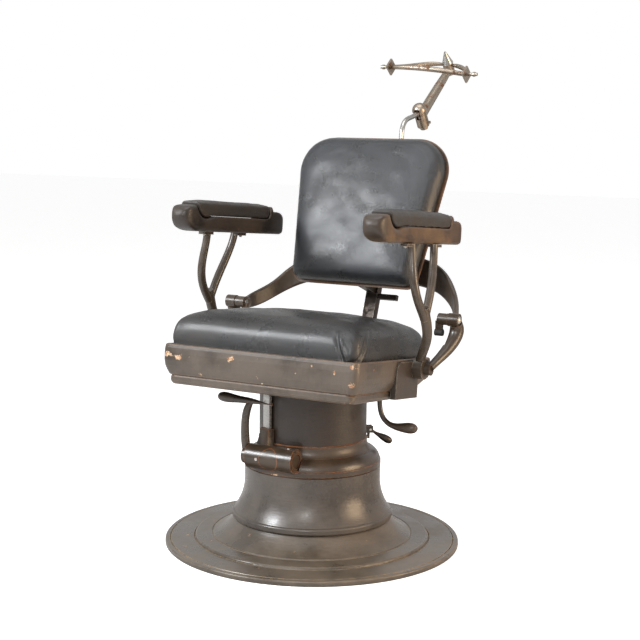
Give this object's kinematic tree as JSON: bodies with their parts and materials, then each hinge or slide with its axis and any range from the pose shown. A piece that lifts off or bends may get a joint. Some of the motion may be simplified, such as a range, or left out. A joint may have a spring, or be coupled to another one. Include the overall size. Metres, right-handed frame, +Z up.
{
  "type": "hydraulic barber chair",
  "caption": "Antique pedestal chair that swivels and lifts on a hand-pumped ram, with a leather seat, arms, reclining back and adjustable headrest frame.",
  "frame": {"origin": "on the floor, at the centre of the round base", "axes": "+Z up, the sitter faces -Y, the sitter's left hand is on the +X side"},
  "size_m": [0.72, 1.1538, 1.2182],
  "materials": {
    "enamel": "aged gloss enamel, worn at the edges",
    "dark_iron": "dark, oiled",
    "rusty_iron": "lightly rusted",
    "polished_steel": "old polish",
    "bronze": "machined",
    "leather": "worn gloss",
    "arm_wood": "old varnish",
    "board_wood": "plain",
    "rubber": "matte",
    "packing": "oiled"
  },
  "bodies": {
    "base": {"base_plate": "enamel", "base_bell": "enamel", "base_bolts": "polished_steel", "pivot_bush": "bronze", "thrust_washer": "bronze"},
    "turret": {"turret_collar": "enamel", "column_tube": "enamel", "hydraulic_cylinder": "dark_iron", "cylinder_bolts": "polished_steel", "cylinder_gland": "bronze", "gland_packing": "packing", "pump_end_cap": "enamel", "pump_front_plug": "enamel", "pump_screws": "polished_steel", "pump_shaft_bush": "bronze", "pump_barrel": "polished_steel", "release_bracket": "enamel", "release_pin": "polished_steel", "release_valve": "dark_iron"},
    "pump": {"pump_lever": "enamel", "pump_shaft": "polished_steel"},
    "plunger": {"pump_plunger": "polished_steel"},
    "release": {"release_lever": "dark_iron"},
    "spindle": {"release_spindle": "polished_steel"},
    "seat": {"ram_tube": "polished_steel", "piston": "polished_steel", "piston_packing": "packing", "seat_frame": "enamel", "seat_board": "board_wood", "seat_cushion": "leather", "seat_spider": "dark_iron", "spider_bolts": "polished_steel", "guide_bar": "polished_steel", "recline_bracket": "dark_iron", "recline_pin": "polished_steel", "side_plates": "enamel", "arm_post_right": "enamel", "arm_post_left": "enamel", "hub_bolts": "polished_steel", "armrest_right": "arm_wood", "armrest_left": "arm_wood", "arm_pad_right": "leather", "arm_pad_left": "leather", "arm_screws": "polished_steel", "back_carrier_right": "enamel", "back_carrier_left": "enamel", "knuckle_pins": "polished_steel"},
    "recline": {"recline_lever": "enamel"},
    "back": {"back_pad": "leather", "back_shell": "board_wood", "back_spine": "dark_iron", "spine_screws": "polished_steel", "back_yoke": "enamel", "stop_bumpers": "rubber"},
    "post_screw": {"headrest_clamp_screw": "polished_steel"},
    "post": {"headrest_post": "polished_steel"},
    "headrest": {"headrest_arm": "rusty_iron", "clamp_fasteners": "rusty_iron", "cone_nut": "polished_steel"},
    "crossbar": {"headrest_yoke": "rusty_iron"}
  },
  "joints": [
    {"name": "swivel", "type": "hinge", "parent": "base", "child": "turret", "pos_m": [0, 0, 0.196], "axis": [0, 0, 1], "continuous": true},
    {"name": "seat_lift", "type": "slide", "parent": "turret", "child": "seat", "axis": [0, 0, 1], "range_m": [0, 0.16]},
    {"name": "pump_stroke", "type": "hinge", "parent": "turret", "child": "pump", "pos_m": [0, -0.16, 0.236], "axis": [1, 0, 0], "range_deg": [0, 32], "stiffness_Nm_per_rad": 2, "springref_deg": -20.05},
    {"name": "plunger_stroke", "type": "slide", "parent": "turret", "child": "plunger", "axis": [0, 1, 0], "range_m": [0, 0.012]},
    {"name": "release_press", "type": "hinge", "parent": "turret", "child": "release", "pos_m": [0.10792, 0.09382, 0.273], "axis": [-0.6561, 0.7547, 0], "range_deg": [0, 10], "stiffness_Nm_per_rad": 0.6, "springref_deg": -17.19},
    {"name": "spindle_stroke", "type": "slide", "parent": "turret", "child": "spindle", "axis": [-0.7547, -0.6561, 0], "range_m": [0, 0.0039]},
    {"name": "recline_release", "type": "hinge", "parent": "seat", "child": "recline", "pos_m": [0.165, 0.03, 0.402], "axis": [0, -1, 0], "range_deg": [0, 20], "stiffness_Nm_per_rad": 1, "springref_deg": -11.46},
    {"name": "back_recline", "type": "hinge", "parent": "seat", "child": "back", "pos_m": [0, 0.126, 0.557], "axis": [-1, 0, 0], "range_deg": [-8, 30]},
    {"name": "post_screw_turn", "type": "hinge", "parent": "back", "child": "post_screw", "pos_m": [0, 0.42957, 0.81413], "axis": [0, 0.9367, -0.3502], "continuous": true},
    {"name": "headrest_height", "type": "slide", "parent": "back", "child": "post", "axis": [0, 0.3502, 0.9367], "range_m": [-0.04, 0.1]},
    {"name": "headrest_tilt", "type": "hinge", "parent": "post", "child": "headrest", "pos_m": [0, 0.592, 1.037], "axis": [-1, 0, 0], "range_deg": [0, 15]},
    {"name": "crossbar_turn", "type": "hinge", "parent": "headrest", "child": "crossbar", "pos_m": [0, 0.76667, 1.1818], "axis": [0, -0.5678, 0.8231], "range_deg": [-40, 40]}
  ],
  "couplings": [
    {"joint": "plunger_stroke", "follows": "pump_stroke", "m_per_rad": 0.021},
    {"joint": "spindle_stroke", "follows": "release_press", "m_per_rad": 0.022}
  ]
}
